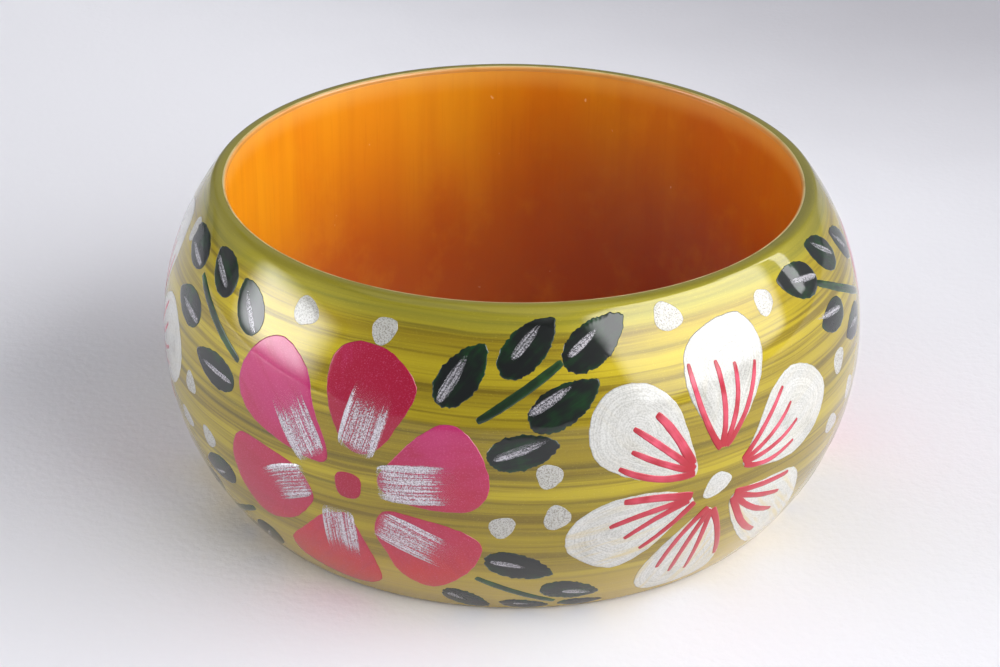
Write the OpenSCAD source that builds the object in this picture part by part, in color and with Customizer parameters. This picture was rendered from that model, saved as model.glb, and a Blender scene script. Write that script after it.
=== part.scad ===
// Hand-painted turned wooden bangle. Millimetres, +Z up, resting on its lower rim at Z = 0.
// The origin is on the bore's axis, and the front of the painting faces -Y.
// The ring is a turned blank under three coats. The painting is laid on it as thin raised dabs.
//
// The dabs are drawn flat, in millimetres on the unrolled belly: [right, up] from the motif's
// own centre line and from the belly's widest line. wrap() rolls a drawing round the belly.

/* [Ring] */
// Inside diameter, the size that the bangle is sold by
bore_d = 66; // [58:0.5:70]
// Diameter across the widest line of the belly
outer_d = 82; // [80:0.5:90]
// Height from rim to rim
height = 37; // [34:0.5:37.5]
// Width of each flat rim, from the bore to the edge of the belly
rim_w = 1.42; // [1:0.02:2]

/* [Coats] */
// Thickness of each coat: cream primer, olive base coat and orange bore lacquer
coat_t = 0.15; // [0.1:0.01:0.2]
// Width of the primer left bare round the lips of the bore
bare_w = 0.35; // [0.25:0.05:0.5]

/* [Painting] */
// How far a dab of enamel stands above the base coat
dab_t = 0.12; // [0.08:0.01:0.2]
// How far a second stroke stands above the dab that it lies on
stroke_t = 0.08; // [0.05:0.01:0.15]
// Width of a red vein on a white petal
vein_w = 0.75; // [0.5:0.05:1]
// Streaks that one pull of a dry brush leaves on a pink petal
streaks = 5; // [3:1:7]
// Short straight steps between two drawn points of a petal
smoothness = 3; // [2:1:8]

/* [Hidden] */
bore_r = bore_d / 2;
belly_r = outer_d / 2;
rim_r = bore_r + rim_w;
bulge = belly_r - rim_r;
arc_r = (height * height / 4 + bulge * bulge) / (2 * bulge);
arc_centre = belly_r - arc_r;
lacquer_r = bore_r + coat_t;
lacquer_top = height / 2 - 0.6;
reach = 20;
drawn_height = 37;
prism_down = 3;
prism_up = 0.6;
leaf_steps = 8;
stroke_steps = 6;
dot_steps = 12;
dot_lump = 0.09;
stem_w = 0.9;
$fn = 96;

// How blunt a dab's heel and tip are: lower is blunter.
leaf_shape = [0.5, 0.72];
light_shape = [0.4, 0.6];
streak_shape = [0.3, 0.8];
stroke_shape = 0.2;
// How a dry brush leaves its streaks: the share of each one's pitch that it fills, and the
// most that it starts late and stops early, as shares of the pull.
streak_fill = 0.85;
streak_late = 0.12;
streak_early = 0.25;

// Where each motif's centre line stands, in degrees round from the front, and how it is varied.
// A flower is [name, turn, spin about its centre]. A gap is [name, turn, squeeze, drawings].
pink_flowers = [["front", -24.6, 0], ["right", 103, -3], ["rear", 217, -3]];
white_flowers = [["front", 32.5, 0], ["rear", 158.5, -5], ["left", 271.5, 0]];
WIDE = 0;
TALL = 1;
OPEN = 2;
gaps = [
    ["front", 4, 1, WIDE], ["right", 68.3, 1, OPEN], ["right_rear", 130.9, 0.95, WIDE],
    ["rear", 187.3, 0.86, TALL], ["left_rear", 244.4, 0.92, WIDE], ["left", 303.5, 1, TALL]
];

// Six petals of a pink flower, round from the upper left.
pink_petals = [
    [[-2.9, 0.8], [-8.2, 1.5], [-13.7, 3.6], [-15.3, 7.2], [-13.3, 11.3], [-9.7, 12.9],
        [-5.8, 10.6], [-4.3, 6.8], [-2.4, 3]],
    [[1.3, 3], [-1, 4.6], [-2.9, 9], [-2.7, 13], [0.1, 14.9], [4.4, 14.2], [7.5, 11],
        [5.6, 6.7], [3.7, 4]],
    [[3.6, 0.3], [4.9, 2.6], [7.9, 6.1], [11.2, 7.8], [14.2, 5.6], [15.6, 1], [13.7, -1.9],
        [9.7, -2.3], [5.2, -1.6]],
    [[2.9, -6.5], [4.2, -3.4], [8.3, -3.6], [12.7, -4.8], [14.8, -7], [13, -11.4],
        [8.7, -15.1], [5.2, -13.2], [3.9, -9.6]],
    [[-1.4, -5.1], [-3.6, -6.2], [-6.4, -9], [-9.6, -12.5], [-9.3, -15.8], [-5.3, -17.6],
        [-1, -17.8], [2.1, -15.6], [2.1, -11], [0.2, -5.4]],
    [[-4.3, -3.7], [-6, -0.9], [-10.3, 0.2], [-14.6, 0.4], [-16.3, -2.6], [-15.5, -7],
        [-12.7, -10], [-8.2, -8.7], [-5.2, -5.8]]
];
pink_spot = [[-1.3, -0.2], [-0.1, 0.5], [1.6, 0.1], [1.7, -1.4], [1, -2.6], [-0.9, -2.5]];
// One pull of the dry brush on each of those petals: [from, to, width].
brush_pulls = [
    [[-4.2, 1.3], [-7.8, 6.5], 4.5], [[1.1, 3.4], [2.6, 9.6], 4.5],
    [[3.8, 0.3], [11.7, 1.2], 4.3], [[3.6, -5.5], [10.2, -8.3], 4.7],
    [[-1.4, -5.2], [-1.8, -11.8], 4.4], [[-5.3, -2.2], [-10.5, -4.9], 4]
];

// Six petals of a white flower, round from the upper left.
white_petals = [
    [[-2.9, 0], [-3.6, 4], [-5.2, 8.8], [-8.6, 11.4], [-12.5, 11.1], [-14.8, 8.4],
        [-14.7, 4.3], [-11.4, 1.6], [-6.8, 0.2]],
    [[0.6, 2.3], [-1.9, 5.6], [-3.7, 10], [-3, 14.2], [0.7, 16], [5.2, 16], [7.3, 12.6],
        [6.3, 8.5], [2.9, 4]],
    [[3.2, -0.6], [4.8, 2.4], [7.5, 6.4], [11.4, 8.1], [15.6, 6.3], [17.6, 3],
        [15.7, -0.7], [11.4, -2.6], [5.7, -1.8]],
    [[2.4, -4.2], [6.8, -4.1], [12.5, -4.9], [14.9, -8.6], [15.7, -13.5], [13.6, -17],
        [9.3, -15.6], [5.4, -11.8], [2.6, -7.2]],
    [[-0.7, -4.9], [-3.8, -6.8], [-6.9, -10.5], [-8.1, -14.4], [-6.3, -17.8],
        [-1.8, -18.6], [2.6, -17.8], [3.4, -15], [1.5, -8.8]],
    [[-2.9, -3.4], [-5, -1.6], [-9.3, -0.9], [-13.6, -1.6], [-16.9, -4.3], [-16.8, -8],
        [-12, -11.2], [-7.9, -9.2], [-4.7, -5.6]]
];
white_spot = [[-0.9, -0.9], [0.5, -0.6], [1.8, -1.8], [0.8, -3.1], [-0.9, -3.6], [-1.8, -2.9]];
// Four veins on each of those petals: [at the heel, half way, end].
veins = [
    [[-3.5, 0.5], [-7.5, 0.6], [-11.9, 2.6]], [[-3.6, 0.8], [-6.8, 2.2], [-10.5, 4.3]],
    [[-3.6, 1], [-6.7, 3.9], [-10.2, 6.8]], [[-3.7, 1.6], [-5.5, 5.3], [-7.5, 7.9]],
    [[0.1, 2.7], [-1.9, 6.6], [-3.1, 12.4]], [[0.2, 2.8], [0.9, 7], [0.4, 12]],
    [[0.6, 2.8], [2.5, 6.6], [2.9, 11.2]], [[0.9, 2.8], [3.9, 6], [5.8, 10.6]],
    [[3.6, 0.1], [6.3, 3], [9.5, 6.4]], [[3.6, -0.1], [7.5, 1.6], [10.7, 4.2]],
    [[3.8, -0.4], [7.9, 0], [11.8, 1.7]], [[3.9, -0.7], [7.2, -1.6], [11.3, -0.7]],
    [[2.9, -4.3], [7, -4.7], [11.5, -5.1]], [[2.9, -4.5], [6.3, -6], [10.6, -7.4]],
    [[2.9, -4.7], [6.1, -7.7], [10.4, -10]], [[2.8, -5], [5.1, -9.4], [8.8, -12.8]],
    [[-0.9, -5.3], [-4, -8.4], [-5.6, -13.1]], [[-0.6, -5.6], [-2.6, -9.7], [-3.4, -14.8]],
    [[-0.4, -5.8], [-0.9, -10.3], [-1, -15.3]], [[-0.2, -5.7], [1.4, -9], [3.1, -14.3]],
    [[-3.6, -2.7], [-7.3, -1.8], [-11.2, -1.6]], [[-3.9, -3.1], [-8.4, -3.5], [-12.6, -4.7]],
    [[-3.9, -3.3], [-7.5, -4.6], [-10.8, -6.6]], [[-3.2, -3.8], [-5.8, -6.2], [-8.8, -8.6]]
];

// The sprigs of each kind of gap. A leaf is [round heel, pointed tip, width].
upper_leaves = [
    [[[-10.7, 9.8], [-5.7, 16.2], 4.5], [[-4.1, 13.2], [2.2, 18.9], 4.5],
        [[3, 13.9], [10.5, 18.6], 4.6], [[-0.9, 7.9], [6.8, 12.2], 4.4],
        [[-5.2, 4.3], [2.3, 5.9], 4]],
    [[[8.9, 11.9], [3.8, 16.5], 4.4], [[2.7, 14.3], [-3.9, 17.4], 4.3],
        [[-5.4, 14.7], [-13.7, 16.3], 4.2], [[-2, 9.3], [-9.7, 9.9], 4.1],
        [[6.9, 5.2], [-1.4, 6.1], 3.8]],
    [[[-4.4, 14.5], [-12.5, 17], 4.3], [[3.1, 14], [-3.7, 18.2], 4.2],
        [[10.9, 11.5], [4.9, 16.4], 3.8], [[0.1, 9.4], [-6.8, 9.5], 3.6],
        [[6.9, 5.8], [-0.6, 5.7], 3.6]]
];
lower_leaves = [
    [[[-5.5, -8.6], [2.2, -11.4], 4.2], [[0.9, -14.1], [8.1, -16.1], 4],
        [[-10.7, -15.5], [-5.2, -19.1], 3.7], [[-4, -17.7], [2.3, -18.8], 2.4],
        [[3.3, -18.3], [9.3, -18.6], 1.9]],
    [[[5.7, -6.6], [-1.3, -8.3], 3.8], [[9.7, -13.6], [4.4, -17.8], 4.2],
        [[-0.4, -11], [-5.7, -13.8], 3.4], [[2.5, -17.3], [-2.1, -18.9], 2.2]]
];
// A highlight is [from, to, width], on the leaf of the same place in the list.
upper_lights = [
    [[[-10.7, 9.8], [-7.7, 15.2], 1.4], [[-2.9, 14.7], [0.5, 18.4], 1.2],
        [[3.4, 14.8], [7.2, 17.6], 1], [[-1, 9], [3.8, 12], 1.2], [[-4.7, 4.2], [1.4, 6.5], 1.1]],
    [[[8.6, 11.6], [4.7, 15.8], 1], [[1.3, 14.4], [-3.9, 16.9], 1],
        [[-6.1, 14.1], [-11.6, 15.1], 0.9], [[-2.1, 8.8], [-8, 9.7], 1],
        [[6.6, 5.3], [0, 5.7], 0.7]],
    [[[-4.1, 14.8], [-10.5, 16.2], 0.9], [[2.7, 14.6], [-2.3, 18.1], 0.8],
        [[9.3, 12.5], [5.4, 16], 0.8], [[-0.6, 9.5], [-7.7, 10.8], 0.9],
        [[5.4, 5.5], [0.9, 6], 0.8]]
];
lower_lights = [
    [[[-5, -9], [-0.9, -10], 0.9], [[3.4, -15.1], [7.4, -16], 1],
        [[-10.3, -16], [-7.9, -17.6], 0.9], [[-2.4, -18], [0, -18.4], 0.7]],
    [[[3.4, -7.6], [-0.5, -9.2], 0.6], [[7.7, -14.9], [5.5, -17.8], 0.7],
        [[-1.5, -11.8], [-4.2, -13.2], 0.7], [[1.8, -17.7], [-0.8, -18.5], 0.5]]
];
// A stem is [one end, half way, other end].
upper_stems = [
    [[-6.4, 8.2], [-1.7, 11.3], [2.8, 14.4]], [[7.1, 8.1], [1.6, 10.5], [-4.9, 13.7]],
    [[-4.9, 14.1], [1.4, 10.8], [8.2, 7.3]]
];
lower_stems = [
    [[-6.6, -12.1], [-1.6, -15.2], [2.9, -17.6]], [[7.5, -10.8], [0.7, -14.9], [-6.3, -19.2]]
];

// A dot is [right, up, width, height, lean]: two beside each flower's top, the others in the gaps.
pink_dots = [[-7.9, 16.2, 3.6, 3, -10], [2.7, 16.4, 3.2, 2.8, 40]];
white_dots = [[-4.4, 17.6, 3.8, 3, -20], [9.7, 15.8, 3, 3, 15]];
gap_dots = [
    [[1.2, 2.4, 2.8, 2.8, 20], [2.1, -2.7, 2.8, 3.2, -15], [-3.6, -3.9, 3, 2.6, 50]],
    [[-2.4, 1.5, 2.7, 2.5, -30], [1.3, -3.7, 2.8, 2.7, 10], [-4.8, -4.1, 3.4, 2.3, -5]],
    [[-3.8, 4.3, 3.2, 2.7, 30], [-5, -3.1, 3.4, 2.4, -25], [0.4, -1, 2.6, 2.9, 0]]
];

ring_nodes = ["wood_ring", "primer_coat", "base_coat", "bore_lacquer"];
pink_nodes = [for (f = pink_flowers) for (p = ["petals", "spot", "brushwork"]) str(f[0], "_pink_", p)];
white_nodes = [for (f = white_flowers) for (p = ["petals", "spot", "veins"]) str(f[0], "_white_", p)];
sprig_nodes = [
    for (g = gaps) for (level = ["upper", "lower"]) for (p = ["leaves", "stem", "highlights"])
        str(g[0], "_", level, "_", p)
];

// --- drawing: outlines in millimetres on the unrolled belly ---

// Shares of a stroke's length, closer together towards both ends so that they come out round.
function rounded_steps(count) = [for (i = [0:count]) (1 - cos(180 * i / count)) / 2];

// A closed curve through all the points.
function smooth(points) = let (n = len(points)) [
    for (i = [0:n - 1]) for (k = [0:smoothness - 1])
        let (
            before = points[(i + n - 1) % n],
            start = points[i],
            end = points[(i + 1) % n],
            after = points[(i + 2) % n],
            t = k / smoothness
        )
        (2 * start + (end - before) * t
            + (2 * before - 5 * start + 4 * end - after) * t * t
            + (3 * start - before - 3 * end + after) * t * t * t) / 2
];

// A dab from heel to tip, of a shape [heel, tip].
function dab(heel, tip, width, shape, count) = let (
    heel_shape = shape[0],
    tip_shape = shape[1],
    steps = rounded_steps(count),
    last = len(steps) - 1,
    along = tip - heel,
    side = [-along.y, along.x] / norm(along) * width / 2,
    widest = heel_shape / (heel_shape + tip_shape),
    peak = pow(widest, heel_shape) * pow(1 - widest, tip_shape),
    swell = [for (u = steps) pow(u, heel_shape) * pow(1 - u, tip_shape) / peak]
) concat(
    [for (i = [0:last]) heel + along * steps[i] + side * swell[i]],
    [for (i = [last - 1:-1:1]) heel + along * steps[i] - side * swell[i]]
);

// A bent line of even width with round ends, through its middle point.
function stroke(start, middle, end, width) = let (
    steps = rounded_steps(stroke_steps),
    last = len(steps) - 1,
    pull = 2 * middle - (start + end) / 2,
    line = [for (u = steps) start * (1 - u) * (1 - u) + pull * 2 * u * (1 - u) + end * u * u],
    heading = [for (u = steps) (pull - start) * (1 - u) + (end - pull) * u],
    side = [
        for (i = [0:last])
            [-heading[i].y, heading[i].x] / norm(heading[i]) * width / 2
                * pow(4 * steps[i] * (1 - steps[i]), stroke_shape)
    ]
) concat(
    [for (i = [0:last]) line[i] + side[i]],
    [for (i = [last - 1:-1:1]) line[i] - side[i]]
);

// A hand-dabbed dot, a little three-cornered.
function blob(dot) = [
    for (i = [0:dot_steps - 1])
        let (
            a = 360 * i / dot_steps,
            r = 1 + dot_lump * cos(3 * a + dot[4]),
            x = dot[2] / 2 * r * cos(a),
            y = dot[3] / 2 * r * sin(a)
        )
        [dot[0] + x * cos(dot[4]) - y * sin(dot[4]), dot[1] + x * sin(dot[4]) + y * cos(dot[4])]
];

// A share that differs from streak to streak without a pattern that shows.
function uneven(i, turn, start) = abs(sin(turn * i + start));

// The streaks of one pull of the dry brush, side by side and of uneven length.
function streaks_of(pull) = let (
    along = pull[1] - pull[0],
    side = [-along.y, along.x] / norm(along),
    pitch = pull[2] / streaks
) [
    for (i = [0:streaks - 1])
        let (
            shift = side * pitch * (i - (streaks - 1) / 2),
            from = pull[0] + along * streak_late * uneven(i, 70, 20) + shift,
            to = pull[1] - along * streak_early * uneven(i, 110, 35) + shift
        )
        dab(from, to, pitch * streak_fill, streak_shape, stroke_steps)
];

// A flower drawing turned about its own centre, and a gap drawing squeezed to fit its gap.
flower_centre = [0, -1.5];
function spun(points, angle) = [
    for (p = points)
        let (q = p - flower_centre)
        flower_centre + [q.x * cos(angle) - q.y * sin(angle), q.x * sin(angle) + q.y * cos(angle)]
];
function squeezed(points, share) = [for (p = points) [p.x * share, p.y]];

// --- from the drawing to the belly ---

scale_up = height / drawn_height;
function angle_round(x) = x * scale_up / belly_r * 180 / PI;
function angle_up(y) = y * scale_up / arc_r * 180 / PI;
function mean(points) = [for (p = points) 1] * points / len(points);

// The point of the belly under a drawn point, and the directions across, up and out of it there.
function out_of(round, up) = [cos(up) * sin(round), -cos(up) * cos(round), sin(up)];
function across(round) = [cos(round), sin(round), 0];
function upward(round, up) = [-sin(up) * sin(round), sin(up) * cos(round), cos(up)];
function wrap(round, up) =
    [arc_centre * sin(round), -arc_centre * cos(round), height / 2] + arc_r * out_of(round, up);

// A straight prism through the belly, whose sides cut it along the rolled-on outline.
module prism(outline, turn) {
    middle = mean(outline);
    round_0 = turn + angle_round(middle.x);
    up_0 = angle_up(middle.y);
    origin = wrap(round_0, up_0);
    a = across(round_0);
    b = upward(round_0, up_0);
    c = out_of(round_0, up_0);
    flat = [
        for (p = outline)
            let (place = wrap(turn + angle_round(p.x), angle_up(p.y)) - origin)
            [place * a, place * b]
    ];
    multmatrix([
        [a.x, b.x, c.x, origin.x],
        [a.y, b.y, c.y, origin.y],
        [a.z, b.z, c.z, origin.z],
        [0, 0, 0, 1]
    ])
        translate([0, 0, -prism_down])
            linear_extrude(prism_down + prism_up)
                polygon(flat);
}

// The part of the children that lies between two heights above the base coat.
module enamel(low, high) {
    intersection() {
        translate([0, 0, height / 2])
            rotate_extrude()
                intersection() {
                    difference() {
                        belly_disc(high);
                        belly_disc(low);
                    }
                    translate([bore_r, -height / 2])
                        square([reach, height]);
                }
        union() children();
    }
}

// --- the ring's half section, drawn about mid height ---

module belly_disc(grow) {
    translate([arc_centre, 0])
        circle(arc_r + grow);
}

// The blank and the coats up to one depth under the finished surface.
module section(depth, inner_r) {
    intersection() {
        belly_disc(-depth);
        translate([inner_r, depth - height / 2])
            square([reach, height - 2 * depth]);
    }
}

// The rounded bead of bare primer at the lips of the bore.
module bare_lips() {
    for (side = [-1, 1])
        scale([1, side])
            intersection() {
                translate([bore_r, lacquer_top])
                    square([bare_w, height / 2 - lacquer_top]);
                union() {
                    translate([bore_r + bare_w, height / 2 - bare_w])
                        circle(bare_w);
                    translate([bore_r, lacquer_top])
                        square([bare_w, height / 2 - bare_w - lacquer_top]);
                }
            }
}

// A half section turned into a ring and stood on the table.
module turned() {
    translate([0, 0, height / 2])
        rotate_extrude()
            children();
}

// --- the ring's four nodes ---

module wood_ring() {
    color("burlywood")
        turned()
            section(2 * coat_t, lacquer_r);
}

module primer_coat() {
    color("ivory")
        turned()
            difference() {
                union() {
                    section(coat_t, lacquer_r);
                    bare_lips();
                }
                section(2 * coat_t, lacquer_r);
            }
}

module base_coat() {
    color("olive")
        turned()
            difference() {
                section(0, bore_r + bare_w);
                section(coat_t, lacquer_r);
            }
}

module bore_lacquer() {
    color("darkorange")
        turned()
            translate([bore_r, -lacquer_top])
                square([coat_t, 2 * lacquer_top]);
}

// --- the painting ---

module flower_films(outlines, flower, low, high) {
    enamel(low, high)
        for (outline = outlines)
            prism(spun(outline, flower[2]), flower[1]);
}

module gap_films(outlines, gap, low, high) {
    enamel(low, high)
        for (outline = outlines)
            prism(squeezed(outline, gap[2]), gap[1]);
}

module petals(flower, drawn) {
    flower_films([for (p = drawn) smooth(p)], flower, 0, dab_t);
}

module spot(flower, drawn) {
    flower_films([smooth(drawn)], flower, 0, dab_t);
}

module brushwork(flower) {
    drawn = [for (p = brush_pulls) for (s = streaks_of(p)) s];
    color("silver")
        flower_films(drawn, flower, dab_t, dab_t + stroke_t);
}

module petal_veins(flower) {
    drawn = [for (v = veins) stroke(v[0], v[1], v[2], vein_w)];
    color("crimson")
        flower_films(drawn, flower, dab_t, dab_t + stroke_t);
}

module leaves(gap, drawn) {
    color("darkslategray")
        gap_films([for (l = drawn) dab(l[0], l[1], l[2], leaf_shape, leaf_steps)], gap, 0, dab_t);
}

module stem(gap, drawn) {
    color("darkgreen")
        gap_films([stroke(drawn[0], drawn[1], drawn[2], stem_w)], gap, 0, dab_t);
}

module highlights(gap, drawn) {
    lights = [for (l = drawn) dab(l[0], l[1], l[2], light_shape, stroke_steps)];
    color("gainsboro")
        gap_films(lights, gap, dab_t, dab_t + stroke_t);
}

module silver_dots() {
    color("whitesmoke")
        enamel(0, dab_t) {
            for (flower = pink_flowers)
                for (dot = pink_dots)
                    prism(blob(dot), flower[1]);
            for (flower = white_flowers)
                for (dot = white_dots)
                    prism(blob(dot), flower[1]);
            for (gap = gaps)
                for (dot = gap_dots[gap[3]])
                    prism(squeezed(blob(dot), gap[2]), gap[1]);
        }
}

// The three nodes of one sprig.
module sprig(name, gap, drawn_leaves, drawn_stem, drawn_lights) {
    leaves(gap, drawn_leaves);
    stem(gap, drawn_stem);
    highlights(gap, drawn_lights);
}

wood_ring();
primer_coat();
base_coat();
bore_lacquer();
silver_dots();

for (f = pink_flowers) {
    color("mediumvioletred") petals(f, pink_petals);
    color("mediumvioletred") spot(f, pink_spot);
    brushwork(f);
}

for (f = white_flowers) {
    color("white") petals(f, white_petals);
    color("white") spot(f, white_spot);
    petal_veins(f);
}

// A gap of the open kind takes the tall kind's lower sprig.
for (g = gaps) {
    kind = g[3];
    low_kind = min(kind, TALL);
    sprig(str(g[0], "_upper"), g, upper_leaves[kind], upper_stems[kind], upper_lights[kind]);
    sprig(str(g[0], "_lower"), g, lower_leaves[low_kind], lower_stems[low_kind], lower_lights[low_kind]);
}
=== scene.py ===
"""A hand-painted turned wooden bangle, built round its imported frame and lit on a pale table.

The ring is a turned blank under a cream primer, an olive pearl base coat and an orange bore lacquer.
Flowers, sprigs and dots are thin dabs of enamel on the belly, and a clear gloss varnish covers them.
"""

import logging
import math
from dataclasses import dataclass
from enum import Enum
from typing import Any, Sequence

import bmesh
import bpy
import numpy as np
from mathutils import Matrix, Vector, noise


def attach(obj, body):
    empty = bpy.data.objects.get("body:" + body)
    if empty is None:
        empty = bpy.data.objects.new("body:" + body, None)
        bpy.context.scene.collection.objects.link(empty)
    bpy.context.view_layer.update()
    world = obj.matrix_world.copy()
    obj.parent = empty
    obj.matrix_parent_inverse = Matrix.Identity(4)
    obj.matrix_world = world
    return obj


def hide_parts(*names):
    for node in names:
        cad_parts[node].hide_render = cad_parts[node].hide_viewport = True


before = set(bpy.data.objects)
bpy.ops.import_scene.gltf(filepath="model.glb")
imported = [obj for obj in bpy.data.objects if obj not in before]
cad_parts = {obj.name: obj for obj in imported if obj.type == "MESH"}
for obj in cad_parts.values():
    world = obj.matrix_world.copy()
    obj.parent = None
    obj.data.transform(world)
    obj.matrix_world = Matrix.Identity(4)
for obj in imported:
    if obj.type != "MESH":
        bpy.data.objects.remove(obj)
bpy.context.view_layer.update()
log = logging.getLogger("bangle")

MM = 0.001
BODY = "root"
STROKE = "stroke"  # metres along a dab, metres across it, metres in from its edge
SHARE = "share"  # share of the way along, share of the way across, the dab's own tone
# Clear gloss varnish. The paint under it has no surface of its own to shine, apart from its flakes.
GLOSS = {"Coat Weight": 1.0, "Coat Roughness": 0.05, "Coat IOR": 1.5, "Specular IOR Level": 0.15}


def srgb(red: float, green: float, blue: float) -> tuple[float, float, float, float]:
    """A paint-chart colour of 0 to 255 per channel as a linear colour."""

    def linear(level: float) -> float:
        """One channel made linear."""
        share = level / 255
        return share / 12.92 if share <= 0.04045 else ((share + 0.055) / 1.055) ** 2.4

    return (linear(red), linear(green), linear(blue), 1.0)


# --- shader maths ---


class Wire:
    """One output of a material's nodes. Arithmetic on it adds Math nodes."""

    def __init__(self, recipe: "Recipe", socket: bpy.types.NodeSocket) -> None:
        """Wraps a socket.

        Args:
            recipe: The material that the socket belongs to.
            socket: The output socket.
        """
        self.recipe = recipe
        self.socket = socket

    def _math(self, operation: str, first: Any, second: Any = None) -> "Wire":
        """A Math node on one or two values."""
        values = {0: first} if second is None else {0: first, 1: second}
        return self.recipe.node("ShaderNodeMath", {"operation": operation}, values)

    def __add__(self, other: Any) -> "Wire":
        """self + other."""
        return self._math("ADD", self, other)

    __radd__ = __add__

    def __sub__(self, other: Any) -> "Wire":
        """self - other."""
        return self._math("SUBTRACT", self, other)

    def __rsub__(self, other: Any) -> "Wire":
        """other - self."""
        return self._math("SUBTRACT", other, self)

    def __mul__(self, other: Any) -> "Wire":
        """self * other."""
        return self._math("MULTIPLY", self, other)

    __rmul__ = __mul__

    def __truediv__(self, other: Any) -> "Wire":
        """self / other."""
        return self._math("DIVIDE", self, other)

    def __abs__(self) -> "Wire":
        """The size of self without its sign."""
        return self._math("ABSOLUTE", self)

    def arcsine(self) -> "Wire":
        """The angle whose sine is self."""
        return self._math("ARCSINE", self)

    def at_least(self, other: Any) -> "Wire":
        """The larger of self and other."""
        return self._math("MAXIMUM", self, other)

    def at_most(self, other: Any) -> "Wire":
        """The smaller of self and other."""
        return self._math("MINIMUM", self, other)

    def step(self, low: float, high: float) -> "Wire":
        """A smooth rise from 0 to 1 as self goes from low to high, or a fall if low is above high."""
        falls = low > high
        settings = {"interpolation_type": "SMOOTHSTEP"}
        start, end = (high, low) if falls else (low, high)
        values = {"Value": self, "From Min": start, "From Max": end}
        rise = self.recipe.node("ShaderNodeMapRange", settings, values)
        return 1 - rise if falls else rise


class Recipe:
    """One material's node tree, written as expressions on wires."""

    def __init__(self, name: str) -> None:
        """Starts an empty material.

        Args:
            name: The material's name.
        """
        self.material = bpy.data.materials.new(name)
        self.material.use_nodes = True
        self.tree = self.material.node_tree
        self.tree.nodes.clear()

    def node(self, kind: str, settings: dict[str, Any], values: dict[Any, Any], output: Any = 0) -> Wire:
        """Adds any node.

        Args:
            kind: The node's type.
            settings: Its settings, set first.
            values: A value or a wire for each socket that differs from its default.
            output: The name or number of the socket to return.

        Returns:
            The chosen output.
        """
        made = self.tree.nodes.new(kind)
        for key, value in settings.items():
            setattr(made, key, value)
        for key, value in values.items():
            if isinstance(value, Wire):
                self.tree.links.new(value.socket, made.inputs[key])
            else:
                made.inputs[key].default_value = value
        return Wire(self, made.outputs[output])

    def places(self) -> tuple[Wire, Wire, Wire]:
        """The three Object coordinates, in metres."""
        where = self.node("ShaderNodeTexCoord", {}, {}, "Object")
        return self.parts(where)

    def parts(self, vector: Wire) -> tuple[Wire, Wire, Wire]:
        """The three parts of a vector."""
        first = self.node("ShaderNodeSeparateXYZ", {}, {0: vector})
        outputs = first.socket.node.outputs
        return first, Wire(self, outputs[1]), Wire(self, outputs[2])

    def attribute(self, name: str) -> tuple[Wire, Wire, Wire]:
        """The three parts of a piece's own attribute."""
        settings = {"attribute_type": "GEOMETRY", "attribute_name": name}
        return self.parts(self.node("ShaderNodeAttribute", settings, {}, "Vector"))

    def vector(self, x: Any, y: Any, z: Any) -> Wire:
        """A vector of three values."""
        return self.node("ShaderNodeCombineXYZ", {}, {0: x, 1: y, 2: z})

    def cloud(self, x: Any, y: Any, z: Any, detail: float = 2.0, rough: float = 0.5) -> Wire:
        """Noise of scale 1 at a place whose parts are already scaled, from 0 to 1."""
        values = {"Vector": self.vector(x, y, z), "Scale": 1.0, "Detail": detail, "Roughness": rough}
        return self.node("ShaderNodeTexNoise", {}, values)

    def blend(self, share: Any, first: Any, second: Any) -> Wire:
        """A colour between first and second."""
        settings = {"data_type": "RGBA", "clamp_factor": True}
        return self.node("ShaderNodeMix", settings, {0: share, 6: first, 7: second}, 2)

    def bump(self, height: Wire, distance: float, strength: float = 1.0) -> Wire:
        """A normal from a height of 0 to 1 that stands for distance metres."""
        values = {"Height": height, "Distance": distance, "Strength": strength}
        return self.node("ShaderNodeBump", {}, values)

    def finish(self, surface: dict[str, Any]) -> bpy.types.Material:
        """Ends the tree in a Principled surface.

        Args:
            surface: A value or a wire for each socket of the surface that differs from its default.

        Returns:
            The finished material.
        """
        shader = self.node("ShaderNodeBsdfPrincipled", {}, surface)
        return self.show(shader)

    def varnished(
        self, colour: Wire, rough: Any, relief: Wire, depth: float, **others: Any
    ) -> bpy.types.Material:
        """Ends the tree in paint under clear gloss varnish.

        Args:
            colour: The paint's colour.
            rough: Its roughness.
            relief: Its relief, from 0 to 1.
            depth: What a relief of 1 stands for, in metres.
            others: The surface's other sockets, such as Metallic.

        Returns:
            The finished material.
        """
        paint = {"Base Color": colour, "Roughness": rough, "Normal": self.bump(relief, depth)}
        return self.finish({**paint, **GLOSS, **others})

    def show(self, shader: Wire) -> bpy.types.Material:
        """Ends the tree in a shader.

        Args:
            shader: The shader that the material shows.

        Returns:
            The finished material.
        """
        end = self.tree.nodes.new("ShaderNodeOutputMaterial")
        self.tree.links.new(shader.socket, end.inputs[0])
        return self.material


# --- the belly that everything is painted on ---


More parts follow.
